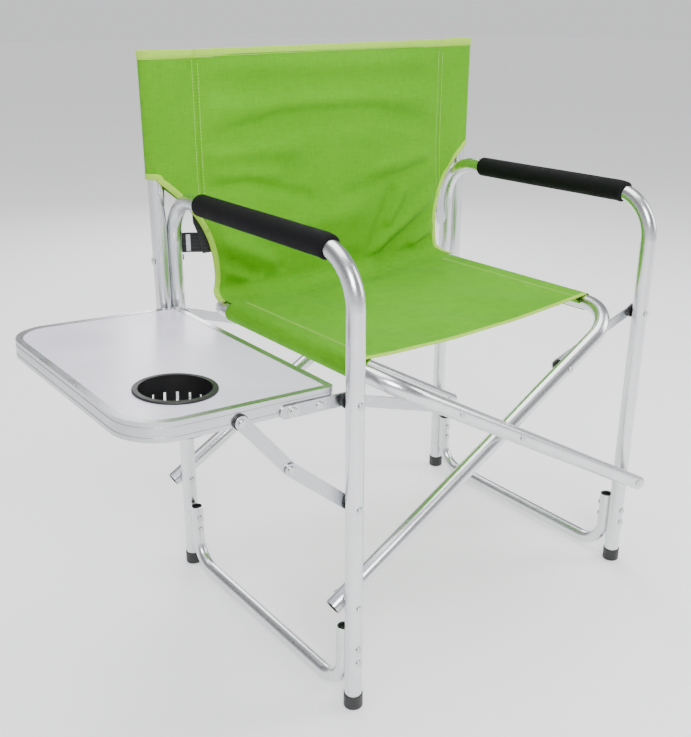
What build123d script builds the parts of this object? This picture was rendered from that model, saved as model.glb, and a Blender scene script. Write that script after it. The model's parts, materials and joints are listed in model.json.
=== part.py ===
from build123d import *
from math import atan2, cos, degrees, hypot, radians, sin, sqrt
import os

# Folding director chair with a fold-down side table.
# Millimetres. The chair faces -Y, +X is the sitter's left hand, +Z is up.
# "Left" and "right" are as seen from in front of the chair: the table is on the left (-X) side.
# Working frame: x = 0 midway between the two side frames, y = 0 midway between the left legs,
# z = 0 the floor. On export the frame moves to the bottom centre of the whole outline.

# ---------------------------------------------------------------- driving dimensions
tube_d = 22.0
tube_wall = 1.2
leg_spacing = 544.0
leg_depth = 420.0
plane_gap = 0.6
armrest_z = 586.0
armrest_bend = 62.0
foot_floor = 4.0

brace_pivot_z = 149.0
open_angle = 29.3
folded_angle = 75.0
rail_from_crossing = 254.5
link_from_crossing = 129.7
rail_bend = 60.0
brace_tail = 18.0

stretcher_d = 19.0
stretcher_z = 13.5
stretcher_bend = 42.0
stretcher_top = 108.0
stretcher_rivet_z = (70.0, 90.0)

post_bottom = 368.0
post_top = 774.0
post_rivet_z = (385.0, 498.0)

foam_d = 30.0
foam_rear_gap = 83.0
foam_front_wrap = 15.0

rivet_r = 2.5
rivet_head_r = 4.8
rivet_head_h = 2.2
pivot_gap = 0.05
slide_gap = 0.3

link_width = 14.0
link_thick = 2.5
spacer_r = 10.0
spacer_t = 4.0

table_tilt = 2.7
table_inner = 13.0
table_outer = 258.0
table_half_width = 189.6
table_top = 17.5
table_edge_h = 22.0
edge_flange = 9.0
edge_wall = 1.5
board_t = 8.0
board_recess = 0.5
table_outer_corner = 55.0
table_inner_corner = 8.0
bracket_width = 16.0
bracket_thick = 2.5
bracket_reach = 80.0
bracket_rivets = (36.0, 71.0)

cup_out = 169.0
cup_front = 107.0
cup_inner_r = 40.5
cup_wall = 2.0
cup_flange_r = 47.0
cup_flange_t = 2.5
cup_depth = 42.0
cup_slots = 18

stay_width = 16.0
stay_thick = 2.0
stay_out = 137.5
stay_up = 1.0
stay_leg_z = 284.5
stay_upper_len = 92.6
stay_lower_len = 103.2
stay_washer_t = 3.2

cloth_t = 2.0
sleeve_gap = 0.4
seat_sag = 12.0
back_top = 783.0
sleeve_bottom = 612.0
waist_z = 475.0
waist_half = 221.0
back_base_z = 442.0
back_base_half = 226.0
back_lean = 14.0

strap_z = 518.0
strap_w = 29.0
strap_t = 2.0
strap_y = 17.3
strap_right = 232.0

# ---------------------------------------------------------------- worked-out places
tube_r = tube_d / 2
half_spacing = leg_spacing / 2
frame_shift = tube_d + plane_gap
swing = radians(open_angle)
half_brace = half_spacing / cos(swing)
rail_reach = half_brace + rail_from_crossing
crossing_z = brace_pivot_z + half_brace * sin(swing)
# The links close at both ends of the fold when their leg pivots stand at this height.
link_lever = 2 * half_brace * link_from_crossing / (half_brace + link_from_crossing)
link_pivot_z = brace_pivot_z + link_lever * (sin(swing) + sin(radians(folded_angle)))

left_x = -half_spacing
right_x = half_spacing
left_front = -leg_depth / 2
left_rear = leg_depth / 2
right_front = left_front + frame_shift
right_rear = left_rear + frame_shift
post_offset = tube_d + 0.2

link_eye_x = link_from_crossing * cos(swing)
link_eye_z = crossing_z + link_from_crossing * sin(swing)
rail_x = rail_from_crossing * cos(swing)
rail_z = crossing_z + rail_from_crossing * sin(swing)
sleeve_r = tube_r + sleeve_gap

edge_bottom = table_top - table_edge_h
bracket_y = table_half_width + bracket_thick
stay_upper_y = table_half_width + stay_washer_t
stay_lower_y = stay_upper_y + stay_thick + slide_gap
inner_leg_face = leg_depth / 2 - tube_r

tilt = radians(table_tilt)
stay_eye_x = left_x - stay_out * cos(tilt) + stay_up * sin(tilt)
stay_eye_z = link_pivot_z + stay_out * sin(tilt) + stay_up * cos(tilt)

back_skew = degrees(atan2(frame_shift, leg_spacing + 2 * post_offset))
back_half = hypot(half_spacing + post_offset, frame_shift / 2)

# Overall outline, for the origin at its bottom centre.
outline_left = left_x - table_outer * cos(tilt) + edge_bottom * sin(tilt)
outline_right = right_x + post_offset + sleeve_r + cloth_t
outline_front = left_front - tube_r - rivet_head_h - slide_gap
outline_rear = right_rear + tube_r + spacer_t + link_thick + slide_gap + rivet_head_h
origin_x = (outline_left + outline_right) / 2
origin_y = (outline_front + outline_rear) / 2


def stay_knee():
    """Knee of the table stay, on the side of the straight line that faces away from the table."""
    dx = stay_eye_x - left_x
    dz = stay_eye_z - stay_leg_z
    reach = hypot(dx, dz)
    along = (stay_lower_len ** 2 - stay_upper_len ** 2 + reach ** 2) / (2 * reach)
    aside = sqrt(stay_lower_len ** 2 - along ** 2)
    return (left_x + (along * dx - aside * dz) / reach, stay_leg_z + (along * dz + aside * dx) / reach)


knee_x, knee_z = stay_knee()


# ---------------------------------------------------------------- building blocks
def rod_y(x, z, y0, y1, r):
    """Solid rod along Y."""
    return Pos(x, (y0 + y1) / 2, z) * Rot(90, 0, 0) * Cylinder(r, abs(y1 - y0))


def rod_x(y, z, x0, x1, r):
    """Solid rod along X."""
    return Pos((x0 + x1) / 2, y, z) * Rot(0, 90, 0) * Cylinder(r, abs(x1 - x0))


def rivet_head():
    """Domed head standing on z = 0, with the small dimple of a drawn rivet."""
    head = Cylinder(rivet_head_r, rivet_head_h, align=(Align.CENTER, Align.CENTER, Align.MIN))
    head = fillet(head.edges().sort_by(Axis.Z)[-1], 0.85 * rivet_head_h)
    return head - Pos(0, 0, rivet_head_h) * Cylinder(1.3, 0.9)


def rivet_y(x, z, y0, y1, front=True, rear=True):
    """Rivet along Y from y0 (front) to y1 (rear), with a head at either end or both."""
    body = rod_y(x, z, y0, y1, rivet_r)
    if front:
        body += Pos(x, y0, z) * Rot(90, 0, 0) * rivet_head()
    if rear:
        body += Pos(x, y1, z) * Rot(-90, 0, 0) * rivet_head()
    return body


def rivet_x(y, z, x0, x1):
    """Rivet along X from x0 to x1 with both heads."""
    body = rod_x(y, z, x0, x1, rivet_r)
    body += Pos(x0, y, z) * Rot(0, -90, 0) * rivet_head()
    return body + Pos(x1, y, z) * Rot(0, 90, 0) * rivet_head()


def bent_tube(points, bend, outside, wall=tube_wall):
    """Hollow tube along straight runs joined by bends of one radius."""
    path = FilletPolyline(*points, radius=bend)
    start = Plane(origin=path @ 0, z_dir=path % 0)
    ring = start * (Circle(outside / 2) - Circle(outside / 2 - wall))
    return sweep(ring, path=path)


def flat_bar(x0, z0, x1, z1, y_front, thick, width, holes):
    """Flat bar in the XZ plane with round ends centred on its two points; holes are (x, z, r)."""
    length = hypot(x1 - x0, z1 - z0)
    slope = degrees(atan2(z1 - z0, x1 - x0))
    blank = extrude(SlotCenterToCenter(length, width), thick)
    blank = fillet(blank.edges().group_by(Axis.Z)[-1] + blank.edges().group_by(Axis.Z)[0], 0.4)
    middle = Pos((x0 + x1) / 2, y_front + thick, (z0 + z1) / 2)
    bar = middle * Rot(0, -slope, 0) * Rot(90, 0, 0) * blank
    for x, z, r in holes:
        bar -= rod_y(x, z, y_front - 1, y_front + thick + 1, r)
    return bar


def ring_y(x, z, y0, y1, r_out, r_in):
    """Spacer ring along Y."""
    return rod_y(x, z, y0, y1, r_out) - rod_y(x, z, y0 - 1, y1 + 1, r_in)


def plug(outside, place):
    """Plastic plug pressed into a tube end; its face looks along the place's +Z."""
    inner = outside / 2 - tube_wall
    body = Cylinder(inner, 14.0, align=(Align.CENTER, Align.CENTER, Align.MAX))
    body -= Cylinder(inner - 1.6, 3.0, align=(Align.CENTER, Align.CENTER, Align.MAX))
    return place * body


def save(name, *pieces):
    """Write one node; several pieces of one kind share it as separate solids."""
    solids = [s for piece in pieces for s in piece.solids()]
    shifted = [s.moved(Location((-origin_x, -origin_y, 0))) for s in solids]
    export_step(shifted[0] if len(shifted) == 1 else Compound(shifted), f"parts/{name}.step")


# ---------------------------------------------------------------- side frames
def side_tube(x, front, rear, rivet_rows):
    """One bent tube: front leg, armrest and rear leg, drilled for its rivets."""
    top = armrest_z
    corners = [(x, front, foot_floor), (x, front, top), (x, rear, top), (x, rear, foot_floor)]
    tube = bent_tube(corners, armrest_bend, tube_d)
    for z in rivet_rows:
        for y in (front, rear):
            tube -= rod_y(x, z, y - tube_d, y + tube_d, rivet_r)
    for z in post_rivet_z:
        tube -= rod_x(rear, z, x - tube_d, x + tube_d, rivet_r)
    return tube


def stretcher(x, front, rear):
    """Low U-shaped tube riveted between the two legs of one side."""
    step = (tube_d + stretcher_d) / 2
    y0, y1 = front + step, rear - step
    corners = [(x, y0, stretcher_top), (x, y0, stretcher_z), (x, y1, stretcher_z), (x, y1, stretcher_top)]
    tube = bent_tube(corners, stretcher_bend, stretcher_d)
    for z in stretcher_rivet_z:
        for y in (y0, y1):
            tube -= rod_y(x, z, y - tube_d, y + tube_d, rivet_r)
    return tube


def stretcher_plugs(x, front, rear):
    step = (tube_d + stretcher_d) / 2
    return [plug(stretcher_d, Pos(x, y, stretcher_top - 1)) for y in (front + step, rear - step)]


def stretcher_rivets(x, front, rear):
    """Two rivets at each end, through leg and stretcher."""
    made = []
    for z in stretcher_rivet_z:
        made.append(rivet_y(x, z, front - tube_r, front + tube_r + stretcher_d))
        made.append(rivet_y(x, z, rear - tube_r - stretcher_d, rear + tube_r))
    return made


def back_post(x, y):
    """Straight upright beside the rear leg, drilled for its two rivets."""
    post = Pos(x, y, post_bottom) * (
        Cylinder(tube_r, post_top - post_bottom, align=(Align.CENTER, Align.CENTER, Align.MIN))
        - Cylinder(tube_r - tube_wall, post_top - post_bottom, align=(Align.CENTER, Align.CENTER, Align.MIN))
    )
    for z in post_rivet_z:
        post -= rod_x(y, z, x - tube_d, x + tube_d, rivet_r)
    return post


def post_plugs(x, y):
    return [plug(tube_d, Pos(x, y, post_top)), plug(tube_d, Pos(x, y, post_bottom) * Rot(180, 0, 0))]


def foam_sleeve(x, front, rear):
    """Foam grip on the armrest; its front end follows the start of the bend."""
    straight_end = Vector(x, front + armrest_bend, armrest_z)
    straight = Line((x, rear - foam_rear_gap, armrest_z), straight_end)
    centre = Plane(origin=straight_end - Vector(0, 0, armrest_bend), x_dir=(0, 0, 1), z_dir=(1, 0, 0))
    wrap = centre * CenterArc((0, 0), armrest_bend, 0, foam_front_wrap)
    path = Wire([straight.edges()[0], wrap.edges()[0]])
    start = Plane(origin=path @ 0, z_dir=path % 0)
    ring = start * (Circle(foam_d / 2) - Circle(tube_r))
    return sweep(ring, path=path)


def foot_cap(x, y):
    """Cup-shaped foot over the end of a leg."""
    cap = Cylinder(tube_r + 1.3, 19.0, align=(Align.CENTER, Align.CENTER, Align.MIN))
    cap = fillet(cap.edges().sort_by(Axis.Z)[0], 1.2)
    cap = fillet(cap.edges().sort_by(Axis.Z)[-1], 0.6)
    cap -= Pos(0, 0, foot_floor) * Cylinder(tube_r, 30.0, align=(Align.CENTER, Align.CENTER, Align.MIN))
    return Pos(x, y, 0) * cap


def make_side(side, x, front, rear, outward, rivet_rows):
    """All fixed pieces of one side frame."""
    post_x = x + outward * post_offset
    save(f"{side}_side_tube", side_tube(x, front, rear, rivet_rows))
    save(f"{side}_stretcher", stretcher(x, front, rear))
    save(f"{side}_stretcher_plugs", *stretcher_plugs(x, front, rear))
    save(f"{side}_stretcher_rivets", *stretcher_rivets(x, front, rear))
    save(f"{side}_back_post", back_post(post_x, rear))
    save(f"{side}_post_plugs", *post_plugs(post_x, rear))
    ends = sorted((post_x + outward * tube_r, x - outward * tube_r))
    save(f"{side}_post_rivets", *[rivet_x(rear, z, *ends) for z in post_rivet_z])
    save(f"{side}_armrest_foam", foam_sleeve(x, front, rear))
    save(f"{side}_foot_caps", foot_cap(x, front), foot_cap(x, rear))


# ---------------------------------------------------------------- seat braces
def brace_tube(pivot_x, front, rear):
    """U-shaped tube: a seat rail with a diagonal at each end, down to the opposite side's legs."""
    reach = -1 if pivot_x > 0 else 1

    def along(t, y):
        return (pivot_x + reach * t * cos(swing), y, brace_pivot_z + t * sin(swing))

    corners = [along(-brace_tail, front), along(rail_reach, front), along(rail_reach, rear)]
    tube = bent_tube(corners + [along(-brace_tail, rear)], rail_bend, tube_d)
    pins = [along(0, 0), (0, 0, crossing_z), (reach * link_eye_x, 0, link_eye_z)]
    for y in (front, rear):
        tube -= rod_y(pins[0][0], pins[0][2], y - tube_d, y + tube_d, rivet_r + pivot_gap)
        tube -= rod_y(0, crossing_z, y - tube_d, y + tube_d, rivet_r + pivot_gap)
        tube -= rod_y(pins[2][0], pins[2][2], y - tube_d, y + tube_d, rivet_r)
    return tube


def brace_plugs(pivot_x, front, rear):
    """Plugs in the two low ends of a brace tube."""
    reach = -1 if pivot_x > 0 else 1
    x = pivot_x - reach * brace_tail * cos(swing)
    z = brace_pivot_z - brace_tail * sin(swing)
    turn = Rot(0, reach * (-90 - open_angle), 0)
    return [plug(tube_d, Pos(x, y, z) * turn) for y in (front, rear)]


def make_braces():
    save("brace_a_tube", brace_tube(left_x, right_front, right_rear))
    save("brace_a_plugs", *brace_plugs(left_x, right_front, right_rear))
    save("brace_b_tube", brace_tube(right_x, left_front, left_rear))
    save("brace_b_plugs", *brace_plugs(right_x, left_front, left_rear))
    # Pivot rivets: the head against the fixed tube touches it, the head past the moving tube runs clear.
    save(
        "left_brace_rivets",
        rivet_y(left_x, brace_pivot_z, left_front - tube_r, right_front + tube_r + slide_gap),
        rivet_y(left_x, brace_pivot_z, left_rear - tube_r, right_rear + tube_r + slide_gap),
    )
    save(
        "right_brace_rivets",
        rivet_y(right_x, brace_pivot_z, left_front - tube_r - slide_gap, right_front + tube_r),
        rivet_y(right_x, brace_pivot_z, left_rear - tube_r - slide_gap, right_rear + tube_r),
    )
    save(
        "crossing_rivets",
        rivet_y(0, crossing_z, left_front - tube_r - slide_gap, right_front + tube_r),
        rivet_y(0, crossing_z, left_rear - tube_r - slide_gap, right_rear + tube_r),
    )


# ---------------------------------------------------------------- links between legs and braces
def make_links(side, leg_x, front, rear):
    """Flat links on the rear face of both legs of one side, each out to a stud beside the brace."""
    inward = 1 if leg_x < 0 else -1
    eye_x = -inward * link_eye_x
    bars, studs, spacers, brace_studs, brace_spacers = [], [], [], [], []
    for y in (front, rear):
        back = y + tube_r
        y0 = back + spacer_t
        holes = [(leg_x, link_pivot_z, rivet_r + pivot_gap), (eye_x, link_eye_z, rivet_r)]
        bars.append(flat_bar(leg_x, link_pivot_z, eye_x, link_eye_z, y0, link_thick, link_width, holes))
        studs.append(rivet_y(eye_x, link_eye_z, y0, y0 + link_thick, front=False))
        spacers.append(ring_y(leg_x, link_pivot_z, back, y0, spacer_r, rivet_r))
        brace_studs.append(rivet_y(eye_x, link_eye_z, y - tube_r, y0 - slide_gap, rear=False))
        brace_spacers.append(ring_y(eye_x, link_eye_z, back, y0 - slide_gap, spacer_r - 2, rivet_r))
    save(f"{side}_links", *bars)
    save(f"{side}_link_studs", *studs)
    save(f"{side}_link_spacers", *spacers)
    save(f"{side}_brace_studs", *brace_studs)
    save(f"{side}_brace_spacers", *brace_spacers)


def make_link_rivets():
    """Rivets at the top link pivots; on the left they carry the table brackets too."""
    past_link = tube_r + spacer_t + link_thick + slide_gap
    save(
        "left_link_rivets",
        rivet_y(left_x, link_pivot_z, left_front - tube_r, -table_half_width + slide_gap),
        rivet_y(left_x, link_pivot_z, table_half_width - slide_gap, left_rear + past_link),
    )
    save(
        "right_link_rivets",
        rivet_y(right_x, link_pivot_z, right_front - tube_r, right_front + past_link),
        rivet_y(right_x, link_pivot_z, right_rear - tube_r, right_rear + past_link),
    )
    save(
        "table_pivot_spacer",
        ring_y(left_x, link_pivot_z, bracket_y + slide_gap, inner_leg_face, spacer_r, rivet_r),
    )


# ---------------------------------------------------------------- side table
def table_place():
    """The table is drawn level from its pivot line, then set at its small upward tilt."""
    return Pos(left_x, 0, link_pivot_z) * Rot(0, table_tilt, 0)


def table_outline():
    width = table_outer - table_inner
    shape = Pos(-table_inner - width / 2, 0) * Rectangle(width, 2 * table_half_width)
    shape = fillet(shape.vertices().sort_by(Axis.X)[:2], table_outer_corner)
    return fillet(shape.vertices().sort_by(Axis.X)[-2:], table_inner_corner)


def slab(shape, z0, z1):
    return Pos(0, 0, z0) * extrude(shape, z1 - z0)


def table_edge():
    """Extruded edge rail: wall, top flange, shelf under the board, bottom lip and two grooves."""
    outline = table_outline()
    wall_in = offset(outline, -edge_wall)
    flange_in = offset(outline, -edge_flange)
    rail = slab(outline - wall_in, edge_bottom, table_top)
    rail += slab(outline - flange_in, table_top - edge_wall, table_top)
    shelf_top = table_top - edge_wall - board_t
    rail += slab(outline - flange_in, shelf_top - edge_wall, shelf_top)
    rail += slab(outline - offset(outline, -0.6 * edge_flange), edge_bottom, edge_bottom + edge_wall)
    groove = outline - offset(outline, -0.5)
    for low in (table_top - 6.0, edge_bottom + 5.0):
        rail -= slab(groove, low, low + 1.6)
    for y in (-table_half_width, table_half_width):
        inner = y - edge_wall if y > 0 else y + edge_wall
        for out in bracket_rivets:
            rail -= rod_y(-out, 0, y, inner, rivet_r)
        rail -= rod_y(-stay_out, stay_up, y, inner, rivet_r)
    return rail


def table_board():
    """Laminated board held in the edge rail, with the hole for the cup holder."""
    outline = table_outline()
    top_face = table_top - edge_wall
    board = slab(offset(outline, -edge_wall - 0.1), top_face - board_t, top_face)
    board += slab(offset(outline, -edge_flange - 0.2), top_face, table_top - board_recess)
    hole = Pos(-cup_out, -cup_front) * Circle(cup_inner_r + cup_wall + 0.2)
    return board - slab(hole, 0, table_top)


def cup_holder():
    """Drop-in cup with a flange, a slotted wall and a drained floor."""
    seat = table_top - board_recess
    low = seat - cup_depth
    outer = cup_inner_r + cup_wall
    cup = slab(Circle(outer), low, seat) + slab(Circle(cup_flange_r), seat, seat + cup_flange_t)
    cup = fillet(cup.edges().group_by(Axis.Z)[-1], 1.2)
    cup -= slab(Circle(cup_inner_r), low + cup_wall, seat + cup_flange_t)
    for i in range(cup_slots):
        turn = Rot(0, 0, 360 * i / cup_slots)
        cup -= turn * Pos(cup_inner_r + cup_wall / 2, 0, low + 15) * Box(4 * cup_wall, 3.0, 18.0)
        cup -= turn * Pos(cup_inner_r * 0.6, 0, low) * Box(16.0, 3.0, 4 * cup_wall)
    return Pos(-cup_out, -cup_front, 0) * cup


def bracket(side):
    """Flat bar riveted along the edge rail, reaching in to the pivot at the leg."""
    y0 = table_half_width if side > 0 else -bracket_y
    holes = [(0, 0, rivet_r + pivot_gap)] + [(-out, 0, rivet_r) for out in bracket_rivets]
    return flat_bar(0, 0, -bracket_reach, 0, y0, bracket_thick, bracket_width, holes)


def edge_rivets(side):
    """Rivets that hold one bracket to the edge rail; the outer one has a wide washer."""
    made = []
    for out in bracket_rivets:
        outer_face = bracket_y + (0.8 if out == bracket_rivets[-1] else 0)
        ends = sorted((side * outer_face, side * (table_half_width - edge_wall)))
        rivet = rivet_y(-out, 0, *ends, front=side < 0, rear=side > 0)
        if out == bracket_rivets[-1]:
            faces = sorted((side * outer_face, side * bracket_y))
            rivet += ring_y(-out, 0, *faces, 7.5, rivet_r)
        made.append(rivet)
    return made


def stay_rivet(side):
    """Rivet on the edge rail that the upper stay turns on, head clear of the bar."""
    past = stay_upper_y + stay_thick + slide_gap
    ends = sorted((side * past, side * (table_half_width - edge_wall)))
    return rivet_y(-stay_out, stay_up, *ends, front=side < 0, rear=side > 0)


def stay_washer(side):
    ends = sorted((side * table_half_width, side * (stay_upper_y - slide_gap / 2)))
    return ring_y(-stay_out, stay_up, *ends, 9.0, rivet_r)


def make_table():
    place = table_place()
    save("table_board", place * table_board())
    save("table_edge_rail", place * table_edge())
    save("cup_holder", place * cup_holder())
    save("table_brackets", *[place * bracket(side) for side in (-1, 1)])
    save("table_bracket_rivets", *[place * r for side in (-1, 1) for r in edge_rivets(side)])
    save("stay_table_rivets", *[place * stay_rivet(side) for side in (-1, 1)])
    save("stay_washers", *[place * stay_washer(side) for side in (-1, 1)])


def make_stays():
    """Two-bar stays under both long edges of the table."""
    upper, lower, upper_studs, lower_studs, rivets, spacers = [], [], [], [], [], []
    for side in (-1, 1):
        y_up = -stay_upper_y - stay_thick if side < 0 else stay_upper_y
        y_low = -stay_lower_y - stay_thick if side < 0 else stay_lower_y
        eyes = [(stay_eye_x, stay_eye_z, rivet_r + pivot_gap), (knee_x, knee_z, rivet_r)]
        upper.append(flat_bar(stay_eye_x, stay_eye_z, knee_x, knee_z, y_up, stay_thick, stay_width, eyes))
        eyes = [(left_x, stay_leg_z, rivet_r + pivot_gap), (knee_x, knee_z, rivet_r)]
        lower.append(flat_bar(knee_x, knee_z, left_x, stay_leg_z, y_low, stay_thick, stay_width, eyes))
        upper_studs.append(rivet_y(knee_x, knee_z, y_up, y_up + stay_thick, front=side > 0, rear=side < 0))
        lower_studs.append(rivet_y(knee_x, knee_z, y_low, y_low + stay_thick, front=side < 0, rear=side > 0))
        ends = sorted((side * (leg_depth / 2 + tube_r), side * (stay_lower_y - slide_gap)))
        rivets.append(rivet_y(left_x, stay_leg_z, *ends))
        ends = sorted((side * inner_leg_face, side * (stay_lower_y + stay_thick + 0.1)))
        spacers.append(ring_y(left_x, stay_leg_z, *ends, 8.0, rivet_r))
    save("stay_upper_bars", *upper)
    save("stay_lower_bars", *lower)
    save("knee_inner_studs", *upper_studs)
    save("knee_outer_studs", *lower_studs)
    save("stay_leg_rivets", *rivets)
    save("stay_leg_spacers", *spacers)


# ---------------------------------------------------------------- sling
def rail_sleeve(x, y0, y1):
    """Hem of the seat round a straight seat rail."""
    return rod_y(x, rail_z, y0 + 1, y1, sleeve_r + cloth_t)


def seat():
    """Seat cloth: a sleeve on each rail and a slightly sagging sheet between them."""
    b_front, b_rear = left_front + rail_bend, left_rear - rail_bend
    a_front, a_rear = b_front + frame_shift, b_rear + frame_shift
    crown = rail_z + sleeve_r + cloth_t - 0.6
    low = crown - cloth_t
    with BuildSketch(Plane.XZ) as section:
        with BuildLine():
            upper = ThreePointArc((-rail_x, crown), (0, crown - seat_sag), (rail_x, crown))
            right_end = Line(upper @ 1, (rail_x, low))
            lower = ThreePointArc(right_end @ 1, (0, low - seat_sag), (-rail_x, low))
            Line(lower @ 1, upper @ 0)
        make_face()
    sheet = extrude(section.sketch, 300.0, both=True)
    rear_left = left_rear - tube_r - sleeve_gap - cloth_t - back_lean - 3.0
    rear_right = rear_left + frame_shift
    corners = [(-rail_x - 1, b_front), (rail_x + 1, a_front), (rail_x + 1, rear_right), (-rail_x - 1, rear_left)]
    sheet &= extrude(Polygon(*corners, align=None), 600.0, dir=(0, 0, 1))
    body = sheet + rail_sleeve(-rail_x, b_front, b_rear) + rail_sleeve(rail_x, a_front, a_rear)
    body -= rod_y(-rail_x, rail_z, left_front, left_rear, sleeve_r)
    return body - rod_y(rail_x, rail_z, right_front, right_rear, sleeve_r)


def back_place():
    """Middle of the line between the posts, turned with the set-back of the right side."""
    return Pos(0, left_rear + frame_shift / 2, 0) * Rot(0, 0, back_skew)


def back():
    """Back cloth: a sleeve on each post, an hourglass panel, its foot leaning in to the seat."""
    face = tube_r + sleeve_gap
    with BuildSketch(Plane.YZ) as profile:
        with BuildLine():
            Polyline(
                (-face, back_top), (-face, sleeve_bottom), (-face - back_lean, back_base_z),
                (-face - back_lean - cloth_t, back_base_z), (-face - cloth_t, sleeve_bottom),
                (-face - cloth_t, back_top), (-face, back_top),
            )
        make_face()
    band = extrude(profile.sketch, back_half, both=True)
    with BuildSketch(Plane.XZ) as front_view:
        with BuildLine():
            Line((-back_half, back_top), (back_half, back_top))
            Line((back_half, back_top), (back_half, sleeve_bottom))
            ThreePointArc((back_half, sleeve_bottom), (243.0, 548.0), (waist_half, waist_z))
            Line((waist_half, waist_z), (back_base_half, back_base_z))
            Line((back_base_half, back_base_z), (-back_base_half, back_base_z))
            Line((-back_base_half, back_base_z), (-waist_half, waist_z))
            ThreePointArc((-waist_half, waist_z), (-243.0, 548.0), (-back_half, sleeve_bottom))
            Line((-back_half, sleeve_bottom), (-back_half, back_top))
        make_face()
    panel = band & extrude(front_view.sketch, 60.0, both=True)
    height = back_top - sleeve_bottom
    for x in (-back_half, back_half):
        base = Pos(x, 0, sleeve_bottom)
        low = (Align.CENTER, Align.CENTER, Align.MIN)
        panel += base * Cylinder(sleeve_r + cloth_t, height, align=low)
    for x in (-back_half, back_half):
        panel -= Pos(x, 0, sleeve_bottom - 1) * Cylinder(
            sleeve_r, post_top + 1 - sleeve_bottom, align=(Align.CENTER, Align.CENTER, Align.MIN)
        )
    return back_place() * panel


def lumbar_strap():
    """Webbing close behind the back cloth, from the left rear leg to its tongue on the right."""
    end = half_spacing - tube_r - 0.2
    front = -strap_y
    rear = front + strap_t
    turn = end - 35.0
    corners = [
        (-end, 2.0), (-turn, rear), (strap_right, rear), (strap_right, front), (-turn - 1, front), (-end, 0.0),
    ]
    band = extrude(Polygon(*corners, align=None), strap_w, dir=(0, 0, 1))
    return back_place() * Pos(0, 0, strap_z - strap_w / 2) * band


def strap_tongue():
    """Flat rounded tongue on the right end of the strap, standing steeply beside the rear leg."""
    blank = extrude(SlotCenterToCenter(45.0, 21.0), 2.0)
    place = Pos(236.0, -strap_y + strap_t + 2.0, 511.5) * Rot(0, 66, 0) * Rot(90, 0, 0)
    return back_place() * place * blank


def strap_clip():
    """Narrow metal clip on the left end of the strap, close to the leg."""
    slope = degrees(atan2(strap_y - 1.0, 35.0))
    end = half_spacing - tube_r - 0.2
    place = Pos(-end + 9.0, -strap_y * 9.0 / 35.0 - 0.35, strap_z) * Rot(0, 0, -slope)
    return back_place() * place * Pos(0, -0.6, 0) * Box(6.0, 1.0, 24.0)


def make_sling():
    save("seat_fabric", seat())
    save("back_fabric", back())
    save("lumbar_strap", lumbar_strap())
    save("strap_tongue", strap_tongue())
    save("strap_clip", strap_clip())


os.makedirs("parts", exist_ok=True)
common_rows = stretcher_rivet_z + (brace_pivot_z, link_pivot_z)
make_side("left", left_x, left_front, left_rear, -1, common_rows + (stay_leg_z,))
make_side("right", right_x, right_front, right_rear, 1, common_rows)
make_braces()
make_links("left", left_x, left_front, left_rear)
make_links("right", right_x, right_front, right_rear)
make_link_rivets()
make_table()
make_stays()
make_sling()
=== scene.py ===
"""Looks for the folding director chair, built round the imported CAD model. Metres, same frame as the CAD."""

import json
import math

import bpy
import numpy as np
from mathutils import Matrix, Vector


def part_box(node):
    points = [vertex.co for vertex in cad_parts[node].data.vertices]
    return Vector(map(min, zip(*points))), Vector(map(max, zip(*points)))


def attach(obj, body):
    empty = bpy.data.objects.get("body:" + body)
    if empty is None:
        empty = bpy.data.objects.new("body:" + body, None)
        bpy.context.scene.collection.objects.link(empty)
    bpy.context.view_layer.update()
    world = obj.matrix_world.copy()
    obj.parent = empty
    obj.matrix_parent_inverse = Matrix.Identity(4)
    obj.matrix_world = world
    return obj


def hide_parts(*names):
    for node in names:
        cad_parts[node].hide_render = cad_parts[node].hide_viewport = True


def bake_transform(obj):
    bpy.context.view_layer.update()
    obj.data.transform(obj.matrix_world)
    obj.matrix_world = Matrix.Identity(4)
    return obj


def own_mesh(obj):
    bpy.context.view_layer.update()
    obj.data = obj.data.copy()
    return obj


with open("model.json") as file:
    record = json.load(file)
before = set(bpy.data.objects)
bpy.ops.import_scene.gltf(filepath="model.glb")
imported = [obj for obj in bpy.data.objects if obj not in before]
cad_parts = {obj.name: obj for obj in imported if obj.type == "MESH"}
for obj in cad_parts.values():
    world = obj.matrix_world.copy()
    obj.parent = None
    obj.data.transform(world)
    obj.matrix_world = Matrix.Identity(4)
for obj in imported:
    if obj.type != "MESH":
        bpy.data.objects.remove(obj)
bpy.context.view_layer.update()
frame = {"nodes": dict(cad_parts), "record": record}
nodes = frame["nodes"]

# ------------------------------------------------------------------ places read from the frame
TUBE_R = 0.011


def tube_axis(node):
    """Mid X and the first and last tube centre in Y of a side tube."""
    low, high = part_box(node)
    return (low.x + high.x) / 2, low.y + TUBE_R, high.y - TUBE_R, high.z - TUBE_R


LEFT_X, LEFT_FRONT, LEFT_REAR, ARM_Z = tube_axis("left_side_tube")
RIGHT_X, RIGHT_FRONT, RIGHT_REAR, _ = tube_axis("right_side_tube")
MID_X = (LEFT_X + RIGHT_X) / 2
SHIFT = RIGHT_REAR - LEFT_REAR
low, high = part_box("left_back_post")
POST_LEFT = Vector(((low.x + high.x) / 2, (low.y + high.y) / 2))
low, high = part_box("right_back_post")
POST_RIGHT = Vector(((low.x + high.x) / 2, (low.y + high.y) / 2))
POST_HALF = (POST_RIGHT.x - POST_LEFT.x) / 2
RAIL_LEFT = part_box("brace_b_tube")[0].x + TUBE_R
RAIL_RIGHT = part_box("brace_a_tube")[1].x - TUBE_R
RAIL_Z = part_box("brace_a_tube")[1].z - TUBE_R
RAIL_HALF = (RAIL_RIGHT - RAIL_LEFT) / 2
RAIL_BEND = 0.060
ARM_BEND = 0.062

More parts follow.
